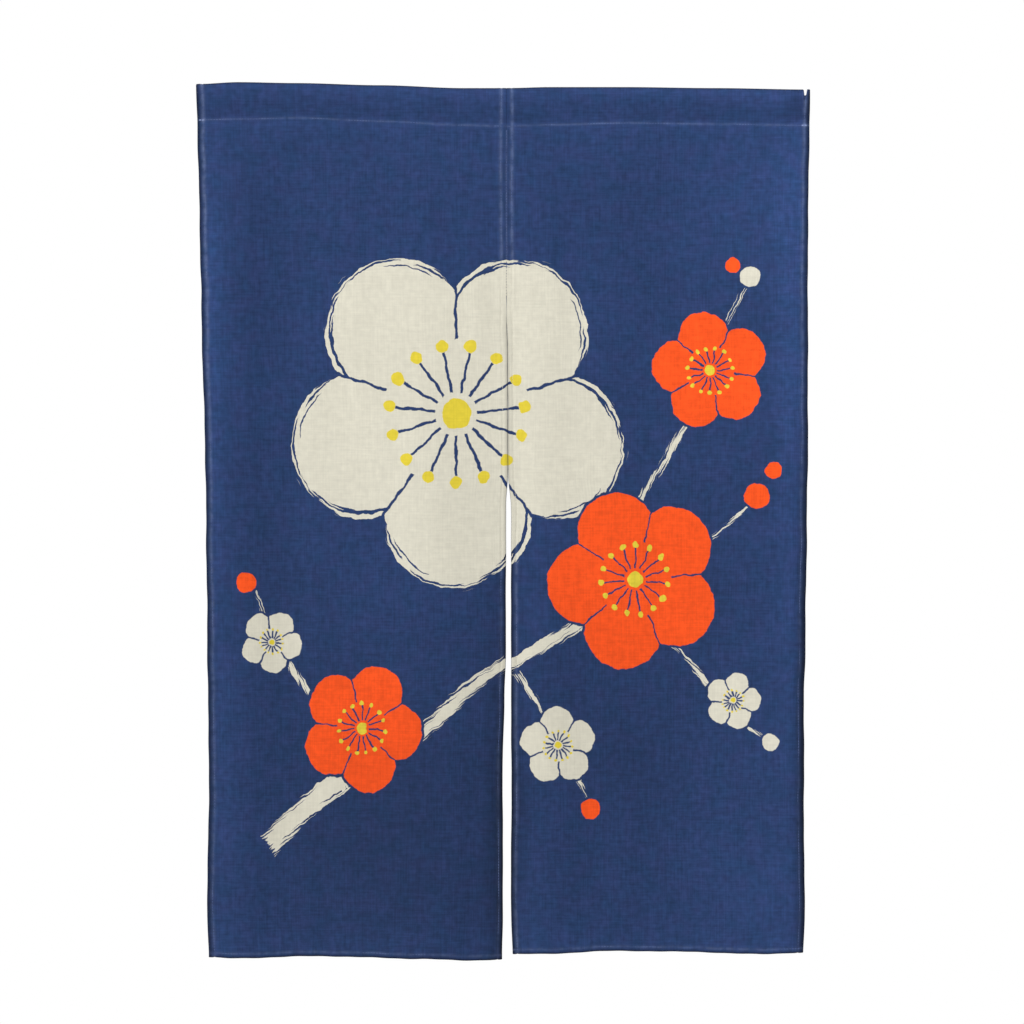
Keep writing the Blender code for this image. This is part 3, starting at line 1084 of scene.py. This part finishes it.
def draw_print(tree, place):
    """Distances from the print's cream and red shapes, its fine lines and its yellow spots, at a place on
    the flat cloth in millimetres."""
    wander = add(tree, "TexNoise", {"Vector": place, "Scale": WANDER_SCALE, "Detail": 3.0}, "Color",
                 noise_dimensions="2D")
    wander = add(tree, "VectorMath", (wander, (0.5, 0.5, 0.5)), operation="SUBTRACT")
    wander = add(tree, "VectorMath", {0: wander, "Scale": HAND_WANDER}, operation="SCALE")
    drawn = add(tree, "VectorMath", (place, wander), operation="ADD")
    drawn = add(tree, "VectorMath", (drawn, (1.0, 1.0, 0.0)), operation="MULTIPLY")

    great = bloom(tree, drawn, GREAT_BLOOM, GREAT_LINE)
    creams = [bloom(tree, drawn, flower) for flower in CREAM_BLOOMS]
    reds = [bloom(tree, drawn, flower) for flower in RED_BLOOMS]
    outlines = []
    for flowers, spots in ((creams, CREAM_BUDS), (reds, RED_BUDS)):
        found = [flower["Outside"] for flower in flowers]
        for bud in spots:
            away = add(tree, "VectorMath", (drawn, (bud.across, bud.height, 0.0)), "Value",
                       operation="DISTANCE")
            found.append(add(tree, "Math", (away, bud.radius), operation="SUBTRACT"))
        outlines.append(lowest(tree, found))
    small_creams, red_outline = outlines

    brushed = add(tree, "CombineXYZ", (great["Around"], great["Outside"]))
    brushed = add(tree, "VectorMath", (brushed, BRUSH_HAIRS), operation="MULTIPLY")
    hairs = add(tree, "TexNoise", {"Vector": brushed, "Scale": 1.0, "Detail": 3.0}, noise_dimensions="2D")
    loose = add(tree, "MapRange", (hairs, 0.38, 0.62, 0.0, 2.0 * BRUSH_REACH))
    great_edge = add(tree, "Math", (great["Outside"], loose), operation="ADD")

    branch = lowest(tree, [branch_edge(tree, drawn, item) for item in BRANCHES])
    all_outline = lowest(tree, [great["Outside"], small_creams, red_outline])
    clear = add(tree, "Math", (OUTLINE_GAP, all_outline), operation="SUBTRACT")
    branch = add(tree, "Math", (branch, clear), operation="MAXIMUM")
    cream_shape = lowest(tree, [great_edge, small_creams, branch])
    red_clear = add(tree, "Math", (OUTLINE_GAP, red_outline), operation="SUBTRACT")
    cream_shape = add(tree, "Math", (cream_shape, red_clear), operation="MAXIMUM")

    lines = []
    for flower in [great] + creams + reds:
        inside = add(tree, "Math", (flower["Outside"], -1.0), operation="ADD")
        lines.append(add(tree, "Math", (flower["Lines"], inside), operation="MAXIMUM"))
    anthers = [flower["Anthers"] for flower in [great] + creams + reds]
    return cream_shape, red_outline, lowest(tree, lines), lowest(tree, anthers)


# %% [markdown]
# ## The printed face and the wrong side
#
# The cloth is dyed navy all through, hemmed, and printed last, with a paste that takes the navy out and
# leaves its own colour. So the same drawing shows on the wrong side, duller, as less of the paste gets that
# far, and what the hems turned to the back stays navy. A matt cloth has almost no gloss, but short fibres
# stand up from it and catch light at its edges, which the shader's sheen gives. Bump comes from the weave,
# drawn at its real pitch of 0.8 mm, from the slubs and from the puckers that a sewn line draws into the
# cloth. The slubs are drawn twice as thick as the real ones of about a millimetre, which would vanish
# between the picture's pixels.

# %% Dye and yarns
YARN_PITCH = 0.8
YARN_HEIGHT = 0.35
SLUB_LONG = 36.0
SLUB_THICK = 2.2
SLUB_SHADE = 0.17
SLUB_HEIGHT = 2.2
PUCKER_HEIGHT = 5.0
PUCKER_SCALE = 0.17
WEAVE_RISE = 0.00012
DRIFT_SHARE = 0.55

# Unevenness of the dye, by its size: a hand's breadth, a drift between a warmer and a cooler navy, and the
# mottling from one little group of yarns to the next
DYE_UNEVEN = table("size detail by", (120.0, 2.0, 0.05), (26.0, 3.0, 0.05), (9.0, 2.0, 0.12))


def spread(tree, noise, low, high, by):
    """A noise made into a factor round 1, from 1 - by at its low end to 1 + by at its high end."""
    return add(tree, "MapRange", (noise, low, high, 1.0 - by, 1.0 + by))


def in_millimetres(tree):
    """The place on the flat cloth, from the UV map in metres."""
    place = add(tree, "UVMap", uv_map="cloth")
    return add(tree, "VectorMath", {0: place, "Scale": 1.0 / MM}, operation="SCALE")


def dye(tree, place):
    """The navy of the cloth, and the factors by which its shade is uneven."""
    noises = []
    for uneven in DYE_UNEVEN:
        noise = {"Vector": place, "Scale": 1.0 / uneven.size, "Detail": uneven.detail}
        noises.append(add(tree, "TexNoise", noise, noise_dimensions="2D"))
    factors = [spread(tree, noise, 0.3, 0.7, uneven.by) for noise, uneven in zip(noises, DYE_UNEVEN)]
    tint = add(tree, "MapRange", (noises[1], 0.3, 0.7, 0.0, 1.0))
    navy = add(tree, "MixRGB", (tint, linear(NAVY_COOL), linear(NAVY_WARM)))
    return add(tree, "MixRGB", (DRIFT_SHARE, linear(NAVY), navy)), factors


def slub_streaks(tree, place):
    """Yarns of uneven thickness, long one way and thin the other."""
    streaks = []
    for stretch in ((1 / SLUB_LONG, 1 / SLUB_THICK, 0.0), (1 / SLUB_THICK, 1 / (1.4 * SLUB_LONG), 0.0)):
        along = add(tree, "VectorMath", (place, stretch), operation="MULTIPLY")
        noise = {"Vector": along, "Scale": 1.0, "Roughness": 0.55}
        streaks.append(add(tree, "TexNoise", noise, noise_dimensions="2D"))
    return add(tree, "Math", streaks, operation="ADD")


def cloth_height(tree, place, slubs, seam):
    """A bump of yarn over yarn, of slubs, and of puckers beside the sewn lines."""
    turns = add(tree, "VectorMath", {0: place, "Scale": math.pi / YARN_PITCH}, operation="SCALE")
    turns = add(tree, "VectorMath", (turns,), operation="SINE")
    turns = add(tree, "SeparateXYZ", (turns,)).node.outputs
    yarns = add(tree, "Math", (turns["X"], turns["Y"]), operation="MULTIPLY")
    noise = {"Vector": place, "Scale": PUCKER_SCALE, "Detail": 1.0}
    pucker = add(tree, "TexNoise", noise, noise_dimensions="2D")
    pucker = add(tree, "Math", (pucker, seam), operation="MULTIPLY")
    height = add(tree, "Math", (slubs, SLUB_HEIGHT), operation="MULTIPLY")
    for part, most in ((yarns, YARN_HEIGHT), (pucker, PUCKER_HEIGHT)):
        height = add(tree, "Math", (part, most, height), operation="MULTIPLY_ADD")
    return add(tree, "Bump", {"Height": height, "Strength": 0.7, "Distance": WEAVE_RISE})


print("dye uneven over, mm:", [uneven.size for uneven in DYE_UNEVEN])

# %% [markdown]
# On the dye lies the ink, and on both what sewing and folding do. Layers are painted darker, as shade where
# less of the white ground's light comes through them, a folded edge is painted darker as it turns away from
# the light, and a seam is rubbed pale. The attributes that the layout left say where.

# %% Weave the materials
LAYERS_DARK = 0.94
EDGE_DARK = 0.56
RIM_DARK = 0.55
RIM_FROM = 0.55
GROOVE_DARK = 0.82
CREAM_COVERS = 0.72
RED_COVERS = 0.45
REACHES_BACK = 0.72
RUBBED_NAVY = "8797c0"
RUBBED_SCALE = 0.09
RUBBED_LEAST = 0.10
RUBBED_MOST = 0.30
CLOTH_FINISH = {"Roughness": 0.92, "Sheen Weight": 0.04, "Sheen Roughness": 0.5, "Specular IOR Level": 0.2}


def weave(name, reached):
    """Printed cotton and linen cloth. reached is how much of the print got to this side, 1 on the face."""
    material, tree, shader = start_material(name, CLOTH_FINISH)
    told = {key: add(tree, "Attribute", out="Fac", attribute_name=key)
            for key in ("printed", "paler", "layers", "fold_edge", "seam")}
    place = in_millimetres(tree)
    cream, red, lines, anthers = draw_print(tree, place)
    reached = add(tree, "Math", (told["printed"], reached), operation="MULTIPLY")
    cream, red, yellow = [add(tree, "Math", (within(tree, shape), reached), operation="MULTIPLY")
                          for shape in (cream, red, anthers)]
    colour, factors = dye(tree, place)
    inks = ((cream, CREAM), (red, VERMILION), (within(tree, lines), NAVY), (yellow, YELLOW))
    for ink, hex_colour in inks:
        colour = add(tree, "MixRGB", (ink, colour, linear(hex_colour)))

    # Painted shade: several layers of cloth let less of the white ground's light through than one, and a
    # folded edge turns away from the light
    thick = add(tree, "MapRange", (told["layers"], 1.0, 4.0, 1.0, LAYERS_DARK))
    turned = add(tree, "MapRange", (told["fold_edge"], 0.0, 1.0, 1.0, EDGE_DARK))
    slubs = slub_streaks(tree, place)
    shade = spread(tree, slubs, 0.65, 1.35, SLUB_SHADE)
    # The patches of painted light and shade lighten or darken the colour with the other factors
    for factor in (*factors, told["paler"], thick, turned):
        shade = add(tree, "Math", (shade, factor), operation="MULTIPLY")
    # Opaque ink lies over the yarn and evens out its shades: cream the most, vermilion by half
    calm = add(tree, "Math", (red, RED_COVERS), operation="MULTIPLY")
    calm = add(tree, "Math", (cream, CREAM_COVERS, calm), operation="MULTIPLY_ADD")
    calm = add(tree, "Math", (calm, CREAM_COVERS), operation="MINIMUM")
    shade = add(tree, "MixRGB", (calm, shade, WHITE))
    # Painted shade: a folded edge is darkest at its very rim, but under ink only in the groove of the shut
    # slit
    inked = add(tree, "Math", (cream, red), operation="MAXIMUM")
    rim = add(tree, "MapRange", (told["fold_edge"], RIM_FROM, 1.0, 1.0, RIM_DARK))
    groove = add(tree, "MapRange", (told["fold_edge"], 1.0, 1.0 + GROOVE_DEEP, 1.0, GROOVE_DARK))
    for factor in (shade, add(tree, "MixRGB", (inked, rim, groove))):
        colour = add(tree, "MixRGB", (1.0, colour, factor), blend_type="MULTIPLY")
    # Along a sewn line the ridge of the hem is rubbed paler, where no ink covers it
    noise = {"Vector": place, "Scale": RUBBED_SCALE, "Detail": 3.0}
    rubbed = add(tree, "TexNoise", noise, noise_dimensions="2D")
    rubbed = add(tree, "MapRange", (rubbed, 0.35, 0.65, RUBBED_LEAST, RUBBED_MOST))
    for factor in (told["seam"], add(tree, "Math", (1.0, inked), operation="SUBTRACT")):
        rubbed = add(tree, "Math", (rubbed, factor), operation="MULTIPLY")
    colour = add(tree, "MixRGB", (rubbed, colour, linear(RUBBED_NAVY)))
    tree.links.new(colour, shader.inputs["Base Color"])
    tree.links.new(cloth_height(tree, place, slubs, told["seam"]), shader.inputs["Normal"])
    print(name, "nodes:", len(tree.nodes))
    return material


printed_face = weave("printed_cotton_linen_face", 1.0)
wrong_side = weave("printed_cotton_linen_wrong_side", REACHES_BACK)

# %% [markdown]
# ## Sewing thread
#
# Spun polyester thread in blue, twisted and slightly fuzzy, so it is dull with a soft edge. It is rubbed
# paler where it stands proud. The panels are hemmed before they are printed, so the print lies on the
# stitches too, and the thread reads the same drawing.

# %% Spin the thread
THREAD_DARK = "40548a"
THREAD_LIGHT = "6577a6"
THREAD_RUBBED = "98a8d6"
THREAD_FINISH = {"Roughness": 0.75, "Sheen Weight": 0.05, "Specular IOR Level": 0.2}
TWIST_SCALE = 900.0
UNEVEN_SCALE = 28.0
TWIST_RISE = 0.0001


def spin(name):
    """Printed sewing thread, uneven in tone along its length, and paler where it stands proud."""
    material, tree, shader = start_material(name, THREAD_FINISH)
    place = add(tree, "TexCoord", out="Object")
    uneven = add(tree, "TexNoise", {"Vector": place, "Scale": UNEVEN_SCALE, "Detail": 2.0})
    uneven = add(tree, "MapRange", (uneven, 0.35, 0.65, 0.0, 1.0))
    colour = add(tree, "MixRGB", (uneven, linear(THREAD_DARK), linear(THREAD_LIGHT)))
    proud = add(tree, "Attribute", out="Fac", attribute_name="proud")
    colour = add(tree, "MixRGB", (proud, colour, linear(THREAD_RUBBED)))
    cream, red, _, _ = draw_print(tree, in_millimetres(tree))
    for ink, hex_colour in ((cream, CREAM), (red, VERMILION)):
        colour = add(tree, "MixRGB", (within(tree, ink), colour, linear(hex_colour)))
    tree.links.new(colour, shader.inputs["Base Color"])
    twist = add(tree, "TexNoise", {"Vector": place, "Scale": TWIST_SCALE, "Detail": 2.0})
    rise = add(tree, "Bump", {"Height": twist, "Strength": 0.5, "Distance": TWIST_RISE})
    tree.links.new(rise, shader.inputs["Normal"])
    print(name, "nodes:", len(tree.nodes))
    return material


thread_material = spin("spun_polyester_thread")

# %% [markdown]
# ## The two panels, hung
#
# The right panel is not a copy of the left one. Each was cut and hemmed by hand, so each is built from its
# own outline, folds and seams.

# %% Hang the panels
cloths = {}
sheets = {}
for side in ("left", "right"):
    cloths[side], sheets[side] = make_cloth(f"noren_panel_{side}", side)

# %% [markdown]
# ## One stitch
#
# A lockstitch shows as a short length of thread that comes out of one hole and goes into the next. It is a
# six-sided cylinder with its ends drawn in, a few dozen faces, because there are thousands. Real thread is
# about 0.4 mm thick and would vanish at this size, so it is drawn 0.7 mm thick.

# %% Model one stitch
STITCH_LONG = 3.3
STITCH_PITCH = 3.9
THREAD_THICK = 0.7
END_INSET = 0.16
END_SUNK = 0.22
SHANK_SHARE = 0.36

bpy.ops.object.select_all(action="DESELECT")
bpy.ops.mesh.primitive_cylinder_add(
    vertices=6, radius=THREAD_THICK / 2, depth=STITCH_LONG, rotation=(0.0, math.pi / 2, 0.0)
)
pattern = bpy.context.object
bpy.ops.object.transform_apply(location=True, rotation=True, scale=True)
bpy.ops.object.mode_set(mode="EDIT")
bpy.ops.mesh.select_mode(type="FACE")
bpy.ops.mesh.select_all(action="DESELECT")
bpy.ops.object.mode_set(mode="OBJECT")
# The two faces that look along the thread are its ends: they are made smaller, and sink into the cloth
for face in pattern.data.polygons:
    face.select = abs(face.normal.x) > 0.9
bpy.ops.object.mode_set(mode="EDIT")
bpy.ops.mesh.inset(thickness=END_INSET, depth=0.0, use_individual=True)
bpy.ops.object.mode_set(mode="OBJECT")
stitch_points = np.array([vert.co for vert in pattern.data.vertices], float)
narrow = np.hypot(stitch_points[:, 1], stitch_points[:, 2]) < THREAD_THICK * 0.45
ends = np.sign(stitch_points[:, 0])
stitch_points[:, 0] = np.where(narrow, ends * STITCH_LONG / 2, ends * STITCH_LONG * SHANK_SHARE)
stitch_points[:, 2] -= np.where(narrow, END_SUNK, 0.0)
stitch_faces = [list(face.vertices) for face in pattern.data.polygons]
bpy.data.objects.remove(pattern)
print("stitch points", len(stitch_points), "faces", len(stitch_faces))

# %% [markdown]
# ## Sewing
#
# A seam is the one stitch laid again and again along a line on the cloth, at the machine's pitch, each
# turned to the line and square to the cloth. The stitches of a line become one mesh. Hand and tension vary,
# so they sink and skew a little along the way.


# %% Sew along a line
# A line's stitches sink unevenly, because the tension varies: how far, how fast and from where
SINK_WAVES = ((0.13, 0.11, 1), (0.09, 0.37, 2))
SKEW = 0.10
SKEW_TURN = 1.9
LINE_START = 0.5
ALONG_REACH = 1.0


def between(values, places, at):
    """Rows of values, each known at a place along a line, read at another place between them."""
    return np.array([np.interp(at, places, column) for column in values.T])


def place_stitch(line, outward, length, middle, number, seed, sunk):
    """The points of one stitch of a line, turned to the line and square to the cloth."""
    steps = (-ALONG_REACH, 0.0, ALONG_REACH)
    back, here, ahead = [between(line, length, middle + step) for step in steps]
    along = (ahead - back) / np.linalg.norm(ahead - back)
    beside = np.cross(between(outward, length, middle), along)
    beside /= np.linalg.norm(beside)
    out = np.cross(along, beside)
    deep = sunk + sum(most * math.sin(turn * number + start * seed) for most, turn, start in SINK_WAVES)
    skew = SKEW * math.sin(SKEW_TURN * number + seed)
    return stitch_points @ np.array([along + skew * beside, beside, out]) + here - out * deep


def sew(name, lines):
    """Stitches along some lines: points on the cloth, directions out of it, flat places for the print, the
    line's seed and how deep it is sunk."""
    points, faces, flats, proud = [], [], [], []
    for line, outward, flat, seed, sunk in lines:
        steps = np.linalg.norm(np.diff(line, axis=0), axis=1)
        length = np.concatenate([[0.0], np.cumsum(steps)])
        for number in range(int((length[-1] - 2 * LINE_START) / STITCH_PITCH)):
            middle = (number + 0.5) * STITCH_PITCH + LINE_START
            base = len(points) * len(stitch_points)
            faces += [[base + corner for corner in face] for face in stitch_faces]
            points.append(place_stitch(line, outward, length, middle, number, seed, sunk))
            flats.append(between(flat, length, middle))
            proud.append(1.0 if sunk < 0.0 else 0.0)
    mesh = bpy.data.meshes.new(name)
    mesh.from_pydata([tuple(p) for p in np.concatenate(points) * MM], [], faces)
    mesh.materials.append(thread_material)
    uv = mesh.uv_layers.new(name="cloth")
    flats = np.repeat(np.array(flats) * MM, sum(len(face) for face in stitch_faces), axis=0)
    uv.data.foreach_set("uv", flats.astype(np.float32).ravel())
    layer = mesh.attributes.new("proud", "FLOAT", "POINT")
    layer.data.foreach_set("value", np.repeat(proud, len(stitch_points)).astype(np.float32))
    mesh.shade_smooth()
    mesh.update()
    thread = bpy.data.objects.new(name, mesh)
    bpy.context.scene.collection.objects.link(thread)
    print(name, "stitches", len(points), "triangles", sum(len(face) - 2 for face in faces))
    return thread


# %% [markdown]
# ## Where the seams run
#
# Down a side hem the stitch line is read off the sheet row by row, on the face and again behind, where no
# ink reached the thread. Across a panel it follows one row, at the foot of the pocket and at the bottom
# hem. The pocket's seam is sewn back over itself at the panel's outer end, so that it can't come undone.

# %% Sew the hems
UNPRINTED = (9000.0, 9000.0)
BACKTACK_POINTS = 10
BACKTACK_ASIDE = 0.45
BACKTACK_SUNK = -0.12
SIDE_SUNK = (0.24, 0.2)
LEVEL_SUNK = {"pocket_front": 0.24, "pocket_back": 0.18, "bottom_front": 0.36, "bottom_back": 0.2}


def down_line(side, which, wrong):
    """The stitch line of a side hem, down the face or on the wrong side."""
    sheet = sheets[side]
    distance = sheet.away if (which == "outer") == (side == "left") else WIDTHS[side] - sheet.away
    columns = np.flatnonzero(sheet.on_front)
    near = columns[np.argsort(distance[columns])]
    line, outward, flat = [], [], []
    for row in range(sheet.marks["pocket_back"], sheet.marks["bottom_front"] + 4):
        seam = float(seam_in(side, which, sheet.height[row, columns].mean()))
        inward = sheet.inward[row, near[0]]
        offset = (2 * LAYER + CLOTH / 2) if wrong else -CLOTH / 2
        line.append(between(sheet.place[row, near], distance[near], seam) + inward * offset)
        outward.append(inward if wrong else -inward)
        flat.append(UNPRINTED if wrong else between(sheet.flat[row, near], distance[near], seam))
    return np.array(line), np.array(outward), np.array(flat)


def level_line(side, mark):
    """A stitch line that runs across a panel, along one row of its sheet."""
    sheet = sheets[side]
    columns = np.flatnonzero(sheet.on_front)[2:-2]
    row = sheet.marks[mark]
    inward = sheet.inward[row, columns]
    flat = sheet.flat[row, columns] + (UNPRINTED if "back" in mark else (0.0, 0.0))
    return sheet.place[row, columns] - inward * (CLOTH / 2), -inward, flat


def backtack(side):
    """The pocket's seam sewn back over itself at the panel's outer end, in two rows that lie proud."""
    line, outward, flat = level_line(side, "pocket_front")
    end = slice(0, BACKTACK_POINTS) if side == "left" else slice(-BACKTACK_POINTS, None)
    return [(line[end] + (0.0, 0.0, aside), outward[end], flat[end], aside, BACKTACK_SUNK)
            for aside in (-BACKTACK_ASIDE, BACKTACK_ASIDE)]


threads = {}
for side, seed in (("left", 0.4), ("right", 2.3)):
    lines = []
    for which in ("outer", "inner"):
        seed += 1.7
        for wrong, sunk in enumerate(SIDE_SUNK):
            lines.append((*down_line(side, which, bool(wrong)), seed + 0.5 * wrong, sunk))
    threads[side] = [sew(f"side_hem_thread_{side}", lines)]
    across = [(*level_line(side, mark), seed + sunk, sunk) for mark, sunk in LEVEL_SUNK.items()]
    threads[side].append(sew(f"level_thread_{side}", across + backtack(side)))

# %% [markdown]
# ## The join
#
# The two inner hems lie edge to edge and are whipped together by hand from below the pocket to the top of
# the slit. On the face the thread shows as small stitches along the butted edges.

# %% Join the panels
JOIN_TOP = -58.0
JOIN_END = -292.0
JOIN_STEP = 4.0
JOIN_SEED = 4.1
JOIN_SUNK = 0.1


def join_line():
    """The middle line of the join, between the two panels' inner edges."""
    heights = np.arange(JOIN_TOP, JOIN_END, -JOIN_STEP)
    middles = []
    for side in ("left", "right"):
        sheet = sheets[side]
        column = np.flatnonzero(sheet.on_front)[-1 if side == "left" else 0]
        order = slice(sheet.marks["pocket_front"], sheet.marks["bottom_front"])
        rising = sheet.place[order, column][::-1]
        middles.append([between(rising, rising[:, 2], height) for height in heights])
    line = np.mean(middles, axis=0)
    outward = np.tile((0.0, -1.0, 0.0), (len(line), 1))
    return line + outward * (CLOTH / 2), outward, line[:, (0, 2)]


join_thread = sew("join_thread", [(*join_line(), JOIN_SEED, JOIN_SUNK)])

# %% [markdown]
# ## Put each piece in place
#
# Each panel of cloth stands in for its imported panel and pocket, whose solids are hidden. The threads go
# with it.

for side in ("left", "right"):
    cloth = cloths[side]
    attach(cloth, "root")
    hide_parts(f"panel_{side}", f"rod_pocket_{side}")
    for thread in threads[side]:
        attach(thread, "root")
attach(join_thread, "root")
